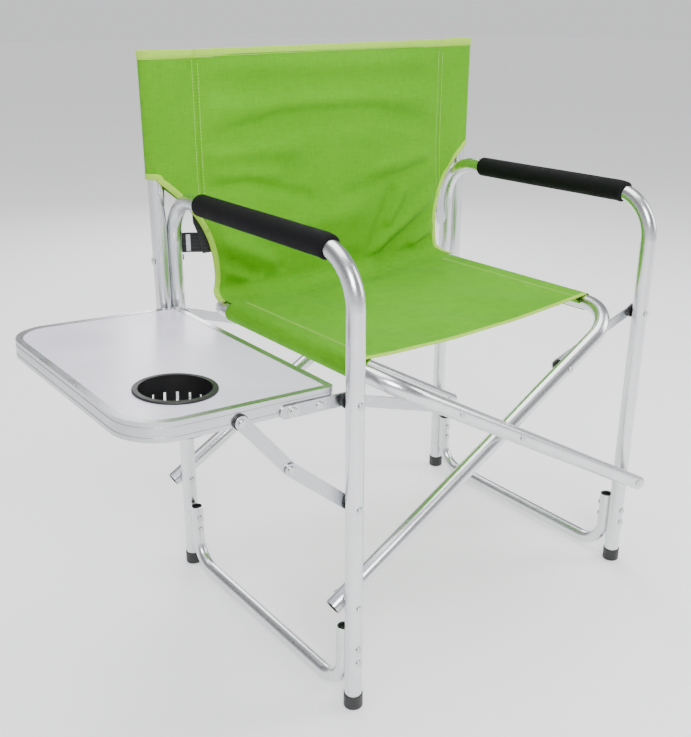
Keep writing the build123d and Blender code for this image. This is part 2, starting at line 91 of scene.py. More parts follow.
CLOTH = 0.0009
SLEEVE_R = TUBE_R + 0.0012
BACK_TOP = 0.783
SLEEVE_BOTTOM = 0.613
WAIST_Z = 0.472
WAIST_HALF = 0.2205
EDGE_HALF = 0.3010
STITCH_HALF = 0.2310
BACK_LEAN = 0.014
SEAT_SAG = 0.012
SEAT_BOW = 0.006
SEAT_REAR_GAP = 0.0405
HEM_UNDER = 0.024
FOLD_GAIN = 2.0
FOLD_FLOOR = 0.0050
GRIP_R = 0.0150
GRIP_REAR_GAP = 0.083
GRIP_WRAP_DEG = 14.5
STRAP_LEFT = 0.2608
STRAP_RIGHT = 0.2320
STRAP_BEHIND = -0.0163
STRAP_BOTTOM, STRAP_TOP = 0.5038, 0.5322


# ------------------------------------------------------------------ node materials
class Shader:
    """Small helper that builds a node material around one Principled shader."""

    def __init__(self, name, color, rough, metal=0.0, **sockets):
        self.mat = bpy.data.materials.new(name)
        self.mat.use_nodes = True
        self.tree = self.mat.node_tree
        self.bsdf = self.tree.nodes["Principled BSDF"]
        self.put("Base Color", (*color, 1.0))
        self.put("Roughness", rough)
        self.put("Metallic", metal)
        for key, value in sockets.items():
            self.put(key.replace("_", " "), value)
        self.mat.diffuse_color = (*color, 1.0)

    def put(self, socket, value):
        self.bsdf.inputs[socket].default_value = value

    def node(self, kind, **settings):
        made = self.tree.nodes.new(kind)
        for key, value in settings.items():
            if key in made.inputs:
                made.inputs[key].default_value = value
            else:
                setattr(made, key, value)
        return made

    def link(self, a, b):
        self.tree.links.new(a, b)

    def coords(self, scale=(1, 1, 1), turn=(0, 0, 0)):
        """Object coordinates, stretched and turned."""
        source = self.node("ShaderNodeTexCoord")
        mapping = self.node("ShaderNodeMapping")
        mapping.inputs["Scale"].default_value = scale
        mapping.inputs["Rotation"].default_value = turn
        self.link(source.outputs["Object"], mapping.inputs["Vector"])
        return mapping.outputs["Vector"]

    def noise(self, vector, scale, detail=3.0, rough=0.55):
        made = self.node("ShaderNodeTexNoise")
        made.inputs["Scale"].default_value = scale
        made.inputs["Detail"].default_value = detail
        made.inputs["Roughness"].default_value = rough
        self.link(vector, made.inputs["Vector"])
        return made.outputs["Fac"]

    def wave(self, vector, scale, direction, distortion=0.0):
        made = self.node("ShaderNodeTexWave", wave_type="BANDS", bands_direction=direction)
        made.inputs["Scale"].default_value = scale
        made.inputs["Distortion"].default_value = distortion
        made.inputs["Detail"].default_value = 1.0
        self.link(vector, made.inputs["Vector"])
        return made.outputs["Fac"]

    def ramp(self, value, low, high, out_low, out_high):
        made = self.node("ShaderNodeMapRange")
        made.inputs["From Min"].default_value = low
        made.inputs["From Max"].default_value = high
        made.inputs["To Min"].default_value = out_low
        made.inputs["To Max"].default_value = out_high
        self.link(value, made.inputs["Value"])
        return made.outputs["Result"]

    def math(self, op, a, b):
        made = self.node("ShaderNodeMath", operation=op)
        for i, v in enumerate((a, b)):
            if isinstance(v, (int, float)):
                made.inputs[i].default_value = v
            else:
                self.link(v, made.inputs[i])
        return made.outputs[0]

    def mix(self, factor, a, b):
        """Colour between a and b by factor."""
        made = self.node("ShaderNodeMix", data_type="RGBA")
        self.link(factor, made.inputs["Factor"])
        made.inputs["A"].default_value = (*a, 1.0)
        made.inputs["B"].default_value = (*b, 1.0)
        return made.outputs["Result"]

    def color(self, value):
        self.link(value, self.bsdf.inputs["Base Color"])

    def rough(self, value):
        self.link(value, self.bsdf.inputs["Roughness"])

    def bump(self, height, strength, distance):
        made = self.node("ShaderNodeBump")
        made.inputs["Strength"].default_value = strength
        made.inputs["Distance"].default_value = distance
        self.link(height, made.inputs["Height"])
        self.link(made.outputs["Normal"], self.bsdf.inputs["Normal"])


def metal(name, tint, rough, stretch, spread=0.06):
    """Metal with fine drawn lines, faint cloudy tone and a slightly uneven sheen."""
    s = Shader(name, tint, rough, 1.0)
    drawn = s.noise(s.coords(stretch), 30.0, 4.0, 0.65)
    cloud = s.noise(s.coords(), 14.0, 4.0)
    darker = tuple(0.88 * c for c in tint)
    s.color(s.mix(s.ramp(cloud, 0.3, 0.7, 0.0, 1.0), darker, tint))
    s.rough(s.ramp(drawn, 0.25, 0.75, rough - spread, rough + spread))
    s.bump(drawn, 0.25, 0.00012)
    return s.mat


def plastic(name, tint, rough, grain=900.0, strength=0.25):
    """Moulded plastic with a fine spark-eroded grain."""
    s = Shader(name, tint, rough)
    grainy = s.noise(s.coords(), grain, 2.0)
    cloud = s.noise(s.coords(), 30.0, 3.0)
    s.rough(s.ramp(cloud, 0.3, 0.7, rough - 0.06, rough + 0.08))
    s.bump(grainy, strength, 0.0002)
    return s.mat


def foam_material():
    s = Shader("grip_foam", (0.004, 0.004, 0.0045), 0.8, Specular_IOR_Level=0.16)
    cells = s.node("ShaderNodeTexVoronoi", feature="F1")
    cells.inputs["Scale"].default_value = 620.0
    s.link(s.coords(), cells.inputs["Vector"])
    lumps = s.noise(s.coords(), 60.0, 3.0)
    s.color(s.mix(s.ramp(lumps, 0.3, 0.7, 0.0, 1.0), (0.003, 0.003, 0.0035), (0.006, 0.006, 0.007)))
    s.bump(s.math("ADD", s.math("MULTIPLY", cells.outputs["Distance"], 0.6), lumps), 0.35, 0.0006)
    s.rough(s.ramp(lumps, 0.3, 0.7, 0.7, 0.88))
    return s.mat


def weave(name, dark, light, pitch, turn=0.0, sheen=0.03, rough=0.78):
    """Plain weave: two crossing sets of yarns, slight slubs and a soft colour drift."""
    s = Shader(name, light, rough, Sheen_Weight=sheen, Sheen_Roughness=0.45)
    s.put("Specular IOR Level", 0.12)
    base = s.coords(turn=(0, 0, turn))
    scale = 0.5 / pitch / 10
    warp = s.wave(base, scale * 2 * math.pi, "X", 0.15)
    weft_z = s.wave(base, scale * 2 * math.pi, "Z", 0.15)
    weft_y = s.wave(base, scale * 2 * math.pi, "Y", 0.15)
    yarns = s.math("MULTIPLY", warp, s.math("MAXIMUM", weft_z, weft_y))
    slub = s.noise(s.coords((1, 1, 9)), 60.0, 3.0)
    slub2 = s.noise(s.coords((9, 1, 1)), 60.0, 3.0)
    drift = s.noise(s.coords(), 6.0, 3.0)
    slubs = s.math("ADD", slub, slub2)
    tone = s.math("ADD", s.math("MULTIPLY", slubs, 0.35), s.math("MULTIPLY", drift, 0.3))
    s.color(s.mix(s.ramp(tone, 0.35, 0.65, 0.0, 1.0), dark, light))
    s.rough(s.ramp(slub, 0.3, 0.7, rough - 0.07, rough + 0.07))
    s.bump(s.math("ADD", yarns, s.math("MULTIPLY", slubs, 0.5)), 0.35, 0.0003)
    return s.mat


def webbing(name, tint):
    """Narrow woven webbing: ribs across, yarns along."""
    s = Shader(name, tint, 0.7, Sheen_Weight=0.2)
    ribs = s.wave(s.coords(), 60.0, "Z", 0.1)
    yarn = s.noise(s.coords((40, 40, 1)), 20.0, 2.0)
    s.color(s.mix(s.ramp(ribs, 0.2, 0.8, 0.0, 1.0), tuple(0.5 * c for c in tint), tuple(1.6 * c for c in tint)))
    s.rough(s.ramp(yarn, 0.3, 0.7, 0.62, 0.78))
    s.bump(ribs, 0.5, 0.0005)
    return s.mat


def laminate():
    """Pale laminate, semi-gloss, with a very faint fleck."""
    s = Shader("table_laminate", (0.80, 0.775, 0.89), 0.28, Coat_Weight=0.15, Coat_Roughness=0.15)
    fleck = s.noise(s.coords(), 420.0, 2.0)
    cloud = s.noise(s.coords(), 7.0, 2.0)
    tone = s.math("ADD", s.math("MULTIPLY", fleck, 0.3), s.math("MULTIPLY", cloud, 0.7))
    s.color(s.mix(s.ramp(tone, 0.35, 0.65, 0.0, 1.0), (0.74, 0.715, 0.845), (0.82, 0.795, 0.91)))
    s.rough(s.ramp(cloud, 0.3, 0.7, 0.22, 0.34))
    s.bump(fleck, 0.06, 0.0002)
    return s.mat


GREEN_DARK = (0.080, 0.312, 0.004)
GREEN_LIGHT = (0.130, 0.415, 0.010)
LIME = (0.42, 0.70, 0.07)

MATERIALS = {
    "satin_tube": metal("satin_tube", (0.74, 0.75, 0.77), 0.26, (40, 40, 1)),
    "rivet_metal": metal("rivet_metal", (0.66, 0.66, 0.67), 0.24, (1, 1, 1)),
    "flat_bar": metal("flat_bar", (0.56, 0.58, 0.60), 0.30, (2, 30, 30)),
    "edge_rail": metal("edge_rail", (0.60, 0.61, 0.63), 0.30, (1, 1, 40)),
    "black_plastic": plastic("black_plastic", (0.014, 0.014, 0.015), 0.45),
    "cup_plastic": plastic("cup_plastic", (0.008, 0.008, 0.009), 0.42, 700.0, 0.15),
    "grip_foam": foam_material(),
    "green_cloth": weave("green_cloth", GREEN_DARK, GREEN_LIGHT, 0.0011),
    "lime_binding": weave("lime_binding", (0.34, 0.62, 0.04), LIME, 0.0008, sheen=0.05, rough=0.6),
    "lime_thread": plastic("lime_thread", (0.40, 0.72, 0.10), 0.5, 1500.0, 0.2),
    "black_webbing": webbing("black_webbing", (0.010, 0.010, 0.011)),
    "table_laminate": laminate(),
}

for sub in frame["record"]["subparts"]:
    data = nodes[sub["node"]].data
    data.materials.clear()
    data.materials.append(MATERIALS[sub["material_slot"]])


# ------------------------------------------------------------------ mesh building
def new_piece(name, verts, faces, material):
    mesh = bpy.data.meshes.new(name)
    mesh.from_pydata([tuple(v) for v in verts], [], faces)
    mesh.validate()
    mesh.update()
    piece = bpy.data.objects.new(name, mesh)
    bpy.context.scene.collection.objects.link(piece)
    mesh.materials.append(MATERIALS[material])
    for polygon in mesh.polygons:
        polygon.use_smooth = True
    return piece


def grid_faces(rows, cols, wrap_cols=False):
    """Quads of a rows by cols grid of points, row by row."""
    faces = []
    last = cols if wrap_cols else cols - 1
    for r in range(rows - 1):
        for c in range(last):
            d = (c + 1) % cols
            faces.append((r * cols + c, r * cols + d, (r + 1) * cols + d, (r + 1) * cols + c))
    return faces


def apply_modifiers(piece):
    """Bake the modifier stack into the mesh."""
    graph = bpy.context.evaluated_depsgraph_get()
    baked = bpy.data.meshes.new_from_object(piece.evaluated_get(graph))
    piece.modifiers.clear()
    piece.data = baked


def thicken(piece, thickness):
    """Give a single-layer sheet its cloth thickness."""
    solid = piece.modifiers.new("thick", "SOLIDIFY")
    solid.thickness = thickness
    solid.offset = 0.0
    apply_modifiers(piece)


def grid_piece(name, rows, material, thickness=CLOTH):
    """Sheet from rows of points."""
    verts = [p for row in rows for p in row]
    piece = new_piece(name, verts, grid_faces(len(rows), len(rows[0])), material)
    thicken(piece, thickness)
    return piece


def sweep(name, path, section, material):
    """Sweep a closed 2-D section (side, normal) along points with their side and normal directions."""
    verts, count = [], len(section)
    for point, side, normal in path:
        verts += [point + side * a + normal * b for a, b in section]
    faces = grid_faces(len(path), count, wrap_cols=True)
    faces.append(tuple(range(count))[::-1])
    faces.append(tuple(range((len(path) - 1) * count, len(path) * count)))
    return new_piece(name, verts, faces, material)


def round_section(radius, count=8):
    turns = [2 * math.pi * i / count for i in range(count)]
    return [(radius * math.cos(t), radius * math.sin(t)) for t in turns]


def tape_section(width, gap, thick, over=0.0011):
    """Folded tape round a cloth edge: inner ends at -width, closed round the edge at 0."""
    outer = gap + thick
    return [
        (-width, gap), (-width, outer), (-width * 0.5, outer + 0.0001), (0.0, outer), (over, outer * 0.5),
        (over, -outer * 0.5), (0.0, -outer), (-width * 0.5, -outer - 0.0001), (-width, -outer), (-width, -gap),
        (-width * 0.5, -gap * 0.6), (-width * 0.5, gap * 0.6),
    ]


def smoothstep(t):
    t = min(max(t, 0.0), 1.0)
    return t * t * (3 - 2 * t)


# ------------------------------------------------------------------ back cloth
def back_half_width(z):
    """Half width of the back cloth at a height, measured along X from the middle."""
    if z >= SLEEVE_BOTTOM:
        return POST_HALF
    if z >= WAIST_Z:
        t = (z - WAIST_Z) / (SLEEVE_BOTTOM - WAIST_Z)
        return WAIST_HALF + (EDGE_HALF - WAIST_HALF) * t**2.4
    t = (WAIST_Z - z) / 0.040
    return WAIST_HALF + 0.008 * min(t, 1.6) ** 1.6


def edge_height(x):
    """Height of the lower edge of the cloth outside the stitch line, by distance from the middle."""
    t = (x - WAIST_HALF) / (EDGE_HALF - WAIST_HALF)
    return WAIST_Z + (SLEEVE_BOTTOM - WAIST_Z) * min(max(t, 0.0), 1.0) ** (1 / 2.4)


FOLDS = [
    # x and z of both ends from the middle of the back, half width, height: soft folds of the cloth
    (-0.228, 0.652, -0.10, 0.680, 0.013, -0.0042),
    (-0.10, 0.680, 0.09, 0.679, 0.016, -0.0062),
    (0.09, 0.679, 0.225, 0.646, 0.013, -0.0045),
    (-0.20, 0.700, 0.20, 0.702, 0.020, 0.0034),
    (-0.215, 0.730, 0.00, 0.724, 0.020, -0.0030),
    (0.00, 0.724, 0.21, 0.722, 0.020, -0.0034),
    (-0.20, 0.757, 0.20, 0.752, 0.016, 0.0018),
    (-0.223, 0.640, -0.06, 0.636, 0.016, 0.0035),
    (-0.221, 0.592, -0.154, 0.594, 0.008, -0.0026),
    (-0.154, 0.594, -0.040, 0.560, 0.009, -0.0026),
    (-0.215, 0.612, -0.10, 0.602, 0.012, 0.0024),
    (0.205, 0.590, 0.120, 0.572, 0.007, -0.0034),
    (0.120, 0.572, 0.020, 0.556, 0.010, -0.0020),
    (0.200, 0.606, 0.080, 0.590, 0.011, 0.0026),
    (0.212, 0.512, 0.140, 0.476, 0.008, -0.0048),
    (0.140, 0.476, 0.058, 0.428, 0.010, -0.0050),
    (0.214, 0.540, 0.120, 0.486, 0.010, 0.0048),
    (0.120, 0.486, 0.050, 0.440, 0.010, 0.0040),
    (0.125, 0.560, 0.092, 0.500, 0.007, -0.0040),
    (0.092, 0.500, 0.066, 0.440, 0.009, -0.0040),
    (0.150, 0.556, 0.108, 0.500, 0.009, 0.0034),
    (0.214, 0.486, 0.165, 0.455, 0.008, 0.0040),
    (0.210, 0.468, 0.120, 0.438, 0.007, -0.0036),
    (-0.218, 0.500, -0.150, 0.458, 0.008, -0.0030),
    (-0.216, 0.520, -0.110, 0.470, 0.012, 0.0030),
    (-0.205, 0.472, -0.140, 0.446, 0.007, 0.0026),
    (-0.120, 0.500, -0.105, 0.458, 0.007, -0.0018),
    (-0.020, 0.470, 0.070, 0.446, 0.012, -0.0028),
    (-0.090, 0.520, 0.060, 0.530, 0.020, 0.0030),
]


def fold_depth(x, z):
    """How far the cloth stands forward of its plain surface."""
    total = 0.0
    for x0, z0, x1, z1, width, height in FOLDS:
        dx, dz = x1 - x0, z1 - z0
        span = dx * dx + dz * dz
        t = ((x - x0) * dx + (z - z0) * dz) / span
        near = min(max(t, -0.12), 1.12)
        away = math.hypot(x - x0 - near * dx, z - z0 - near * dz)
        taper = smoothstep((1.25 - abs(2 * t - 1)) / 0.5)
        total += height * math.exp(-((away / width) ** 2)) * taper
    total *= FOLD_GAIN
    # a fold never sinks back as far as the strap behind the cloth
    return total if total > 0 else FOLD_FLOOR * math.tanh(total / FOLD_FLOOR)


def base_line(x):
    """Y of the straight line between the post centres at X measured from the middle."""
    return POST_LEFT.y + (POST_RIGHT.y - POST_LEFT.y) * (x + POST_HALF) / (2 * POST_HALF)


def seat_height(x):
    """Top of the seat cloth by distance from the middle."""
    return RAIL_Z + SLEEVE_R + CLOTH / 2 - SEAT_SAG * (1 - min(abs(x) / RAIL_HALF, 1.0) ** 2)


CREASE_Z = 0.452
CREASE_RUN = 0.030


def lean_at(x, z):
    """How far the cloth leans forward at a height, easing off over each post."""
    over = smoothstep((POST_HALF - abs(x)) / (POST_HALF - STITCH_HALF))
    return BACK_LEAN * smoothstep((SLEEVE_BOTTOM + 0.02 - z) / 0.20) * over


def slope(x, z):
    """Small drop of the top edge from the right post to the left one, fading out downwards."""
    return (0.0042 * x / POST_HALF - 0.001) * smoothstep((z - 0.64) / 0.14)


def back_point(x, z, lift=0.0):
    """Point of the back cloth. Below the crease height the cloth runs on forward into the seat."""
    depth = SLEEVE_R + CLOTH / 2 + lean_at(x, z)
    free = smoothstep((min(STITCH_HALF, back_half_width(z)) + 0.003 - abs(x)) / 0.035)
    depth += free * fold_depth(x, z) + 0.004 * free * math.sin(math.pi * min(max((z - 0.45) / 0.33, 0), 1))
    return Vector((MID_X + x, base_line(x) - depth - lift, z + slope(x, z)))


def crease_point(x, t):
    """Short curve from the foot of the back (t 0) down and forward to the seat (t 1)."""
    top = back_point(x, CREASE_Z)
    share = (top.y - CREASE_RUN - seat_y(x, 0.0)) / (seat_y(x, 1.0) - seat_y(x, 0.0))
    floor = seat_height(x) + seat_ripple(x, share) + 0.0004
    angle = t * math.pi / 2
    drop = top.z - floor
    y = top.y - CREASE_RUN * (1 - math.cos(angle))
    return Vector((top.x, y, top.z - drop * math.sin(angle)))


def make_back_panel():
    """Middle panel of the back, between the two stitch lines, ending in the crease at the seat."""
    columns, rows = 110, []
    heights = list(np.linspace(BACK_TOP - 0.001, CREASE_Z, 92))
    for z in heights:
        half = min(back_half_width(z), STITCH_HALF)
        rows.append([back_point(half * u, z) for u in np.linspace(-1, 1, columns)])
    for t in np.linspace(0.1, 1.0, 10):
        half = back_half_width(CREASE_Z) + 0.010 * t
        rows.append([crease_point(half * u, t) for u in np.linspace(-1, 1, columns)])
    return grid_piece("back_panel", rows, "green_cloth")


def make_back_sleeve(side):
    """Sleeve round one post, from the stitch line over the post and back to the stitch line."""
    post = POST_LEFT if side < 0 else POST_RIGHT
    ring = SLEEVE_R + CLOTH / 2
    profile = []
    profile.append((STITCH_HALF - 0.003, ring - 0.0005, 0))
    for t in np.linspace(0, 1, 16):
        x = STITCH_HALF + t * (POST_HALF - STITCH_HALF)
        profile.append((x, ring, 0))
    for a in np.linspace(0, math.pi, 18)[1:]:
        profile.append((POST_HALF + ring * math.sin(a), ring * math.cos(a), 0))
    for t in np.linspace(0, 1, 16)[1:]:
        x = POST_HALF - t * (POST_HALF - STITCH_HALF)
        depth = -ring + (2 * ring - 0.0016) * smoothstep(t * 1.02)
        profile.append((x, depth, 1))
    rows = []
    for v in np.linspace(0, 1, 40):
        row = []
        for x, depth, rear in profile:
            low = edge_height(x) if x < EDGE_HALF else SLEEVE_BOTTOM
            z = (BACK_TOP - 0.001) * (1 - v) + low * v
            ripple = 0.0006 * math.sin(31 * z + 9 * x) * smoothstep((x - STITCH_HALF) / 0.02)
            y = base_line(side * min(x, POST_HALF)) - depth - ripple * (0 if rear else 1) - lean_at(x, z)
            if x > POST_HALF:
                y = post.y - depth
            row.append(Vector((MID_X + side * x, y, z + slope(side * x, z))))
        rows.append(row if side > 0 else row[::-1])
    return grid_piece(f"back_sleeve_{'left' if side < 0 else 'right'}", rows, "green_cloth")


def make_back_bindings():
    """Folded tape along the top, and down both hourglass sides from the posts to the seat."""
    front = Vector((0, -1, 0))
    made = []
    ring = SLEEVE_R + CLOTH / 2
    # top tape: across the middle panel, and round each sleeve
    line = [back_point(x, BACK_TOP - 0.0008) for x in np.linspace(-STITCH_HALF, STITCH_HALF, 60)]
    section = tape_section(0.0105, 0.0007, 0.0005)
    path = [(p, Vector((0, 0, 1)), front) for p in line]
    made.append((sweep("top_binding_middle", path, section, "lime_binding"), "panel"))
    for side in (-1, 1):
        post = POST_LEFT if side < 0 else POST_RIGHT
        path = []
        for x in np.linspace(STITCH_HALF - 0.001, POST_HALF, 12):
            z = BACK_TOP - 0.0008
            p = Vector((MID_X + side * x, base_line(side * x) - ring, z + slope(side * x, z)))
            path.append((p, Vector((0, 0, 1)), front))
        for a in np.linspace(0, math.pi, 18)[1:]:
            out = Vector((side * math.sin(a), -math.cos(a), 0))
            z = BACK_TOP - 0.0008
            centre = Vector((MID_X + side * POST_HALF, post.y, z + slope(side * POST_HALF, z)))
            path.append((centre + out * ring, Vector((0, 0, 1)), out))
        for t in np.linspace(0, 1, 10)[1:]:
            x = POST_HALF - t * (POST_HALF - STITCH_HALF)
            depth = -ring + (2 * ring - 0.0040) * smoothstep(t)
            z = BACK_TOP - 0.0008
            p = Vector((MID_X + side * x, base_line(side * x) - depth, z + slope(side * x, z)))
            path.append((p, Vector((0, 0, 1)), -front))
        name = "left" if side < 0 else "right"
        made.append((sweep(f"top_binding_{name}", path, section, "lime_binding"), name))
        # lower tape on the sleeve part: from the outside of the post to the stitch line
        section_low = tape_section(0.0075, 0.0007, 0.0005)
        points = []
        for a in np.linspace(0.75 * math.pi, 0, 12)[:-1]:
            out = Vector((side * math.sin(a), -math.cos(a), 0))
            points.append(Vector((MID_X + side * POST_HALF, post.y, SLEEVE_BOTTOM)) + out * ring)
        for x in np.linspace(POST_HALF, STITCH_HALF - 0.0005, 24):
            z = edge_height(x) if x < EDGE_HALF else SLEEVE_BOTTOM
            points.append(Vector((MID_X + side * x, base_line(side * x) - ring - lean_at(x, z), z)))
        path = []
        for i, p in enumerate(points):
            ahead = (points[min(i + 1, len(points) - 1)] - points[max(i - 1, 0)]).normalized()
            out = front
            if i < 11:
                a = 0.75 * math.pi * (1 - i / 11)
                out = Vector((side * math.sin(a), -math.cos(a), 0))
            down = ahead.cross(out).normalized() * (-side)
            if down.z > 0:
                down = -down
            path.append((p, down, out))
        made.append((sweep(f"side_binding_{name}", path, section_low, "lime_binding"), name))
        # rest of the tape on the panel, down to the crease
        points = []
        for z in np.linspace(edge_height(STITCH_HALF) + 0.004, CREASE_Z, 44):
            half = min(back_half_width(z), STITCH_HALF)
            points.append(back_point(side * half, z))
        for t in np.linspace(0.1, 1.0, 8):
            half = back_half_width(CREASE_Z) + 0.010 * t
            points.append(crease_point(side * half, t))
        path = []
        for i, p in enumerate(points):
            ahead = (points[min(i + 1, len(points) - 1)] - points[max(i - 1, 0)]).normalized()
            out = ahead.cross(Vector((side, 0, 0))).normalized()
            if out.dot(Vector((0, -0.7, 0.7))) < 0:
                out = -out
            outward = Vector((side, 0, 0)) - ahead * ahead.x * side
            path.append((p, outward.normalized(), out))
        made.append((sweep(f"waist_binding_{name}", path, section_low, "lime_binding"), "panel"))
    return made


def stitches(name, points, normal, length=0.0034, gap=0.0010, radius=0.00045):
    """Row of short thread stitches along a line of points."""
    verts, faces = [], []
    section = round_section(radius, 6)
    lengths = [0.0]
    for a, b in zip(points, points[1:]):
        lengths.append(lengths[-1] + (b - a).length)
    total = lengths[-1]

    def along(s):
        s = min(max(s, 0.0), total)
        i = min(int(np.searchsorted(lengths, s)), len(points) - 1)
        i = max(i, 1)
        t = (s - lengths[i - 1]) / max(lengths[i] - lengths[i - 1], 1e-9)
        return points[i - 1].lerp(points[i], t)

    s = gap
    while s + length < total:
        base = len(verts)
        ends = (0.0, 0.25, 0.75, 1.0)
        for e in ends:
            p = along(s + e * length)
            ahead = (along(s + length) - along(s)).normalized()
            n = normal if isinstance(normal, Vector) else normal(p)
            side = ahead.cross(n).normalized()
            lift = 0.00025 if e in (0.25, 0.75) else -0.0002
            size = 1.0 if e in (0.25, 0.75) else 0.55
            verts += [p + side * a * size + n * (b * size + lift) for a, b in section]
        for f in grid_faces(len(ends), len(section), wrap_cols=True):
            faces.append(tuple(base + i for i in f))
        faces.append(tuple(base + i for i in range(len(section)))[::-1])
        faces.append(tuple(base + 3 * len(section) + i for i in range(len(section))))
        s += length + gap
    return new_piece(name, verts, faces, "lime_thread")


def make_back_stitching():
    """Double rows beside each seam, and the row along the tapes."""
    front = Vector((0, -1, 0))
    made = []
    surface = CLOTH / 2 + 0.0002
    ring = SLEEVE_R + CLOTH / 2
    for side in (-1, 1):
        name = "left" if side < 0 else "right"
        inner = STITCH_HALF - 0.0045
        outer = STITCH_HALF + 0.0045
        line = [back_point(side * inner, z, surface) for z in np.linspace(0.766, 0.546, 60)]
        made.append((stitches(f"seam_stitch_in_{name}", line, front), "panel"))
        line = [
            Vector((MID_X + side * outer, base_line(side * outer) - ring - surface - lean_at(outer, z), z))
            for z in np.linspace(0.766, 0.556, 60)
        ]
        made.append((stitches(f"seam_stitch_out_{name}", line, front), name))
    line = [back_point(x, BACK_TOP - 0.0098, 0.0013) for x in np.linspace(-STITCH_HALF, STITCH_HALF, 70)]
    made.append((stitches("top_stitch", line, front), "panel"))
    return made


# ------------------------------------------------------------------ seat cloth
SEAT_FRONT_LEFT = LEFT_FRONT + RAIL_BEND
SEAT_FRONT_RIGHT = RIGHT_FRONT + RAIL_BEND


def seat_profile():
    """Across the seat: hem under the left rail, round it, over the sheet, round the right rail, hem."""
    ring = SLEEVE_R + CLOTH / 2
    points = []
    half = RAIL_HALF
    for t in np.linspace(0, 1, 8):
        x = -half + HEM_UNDER * (1 - t)
        z = seat_height(x) - 0.0016 - RAIL_Z
        points.append((x, z * (1 - t) ** 0.8 + (-ring) * (1 - (1 - t) ** 0.8)))
    for a in np.linspace(-math.pi / 2, -3 * math.pi / 2, 22)[1:]:
        points.append((-half + ring * math.cos(a), ring * math.sin(a)))
    for t in np.linspace(0, 1, 60)[1:-1]:
        x = -half + 2 * half * t
        points.append((x, seat_height(x) - RAIL_Z))
    mirrored = [(-x, z) for x, z in points[:29]]
    points += mirrored[::-1]
    return points


def seat_ripple(x, y_share):
    """Shallow lengthwise and diagonal ripples of the seat."""
    wave = 0.0012 * math.sin(5.5 * x * 10 + 1.3 + 2.0 * y_share)
    wave += 0.0014 * math.sin(9.0 * (x * 5 + y_share) + 0.7)
    wave += 0.0030 * math.exp(-(((y_share - 0.86) / 0.05) ** 2)) * math.cos(14 * x)
    edge = smoothstep((RAIL_HALF - 0.014 - abs(x)) / 0.05)
    return wave * edge * (0.12 + 0.88 * smoothstep((y_share - 0.02) / 0.16))


def seat_y(x, share):
    """Y of the seat by its place across and its share of the way back."""
    side = (x + RAIL_HALF) / (2 * RAIL_HALF)
    side = min(max(side, 0.0), 1.0)
    front = SEAT_FRONT_LEFT + (SEAT_FRONT_RIGHT - SEAT_FRONT_LEFT) * side
    rear = LEFT_REAR - SEAT_REAR_GAP + SHIFT * side
    bow = SEAT_BOW * (1 - (2 * side - 1) ** 2)
    return (front + bow) * (1 - share) + rear * share


def seat_point(x, z, share, top):
    ripple = seat_ripple(x, share) if top else 0.0
    return Vector((MID_X + x, seat_y(x, share), RAIL_Z + z + ripple))


def make_seat():
    profile = seat_profile()
    rows = []
    for share in np.linspace(0, 1, 80):
        row = []
        for i, (x, z) in enumerate(profile):
            top = 28 <= i < len(profile) - 28
            s = share
            if not top:
                s = 0.004 + share * 0.90
            row.append(seat_point(x, z, s, top))
        rows.append(row)
    return grid_piece("seat_cloth", rows, "green_cloth")


def make_seat_binding():
    """Tape along the front hem of the seat."""
    path = []
    for x in np.linspace(-RAIL_HALF, RAIL_HALF, 80):
        p = seat_point(x, seat_height(x) - RAIL_Z, 0.0, True)
        q = seat_point(x, seat_height(x) - RAIL_Z, 0.03, True)
        ahead = (p - q).normalized()
        up = Vector((0, 0, 1)) - ahead * ahead.z
        path.append((p, ahead, up.normalized()))
    return sweep("seat_front_binding", path, tape_section(0.0055, 0.0007, 0.0005), "lime_binding")


def make_seat_stitching():
    made = []
    surface = CLOTH / 2 + 0.0002
    for side in (-1, 1):
        name = "left" if side < 0 else "right"
        for k, inset in enumerate((0.0235, 0.0195)):
            x = side * (RAIL_HALF - inset)
            line = []
            for share in np.linspace(0.015, 0.90, 60):
                p = seat_point(x, seat_height(x) - RAIL_Z, share, True)
                line.append(p + Vector((0, 0, surface)))
            made.append(stitches(f"seat_stitch_{name}_{k}", line, Vector((0, 0, 1))))
    return made


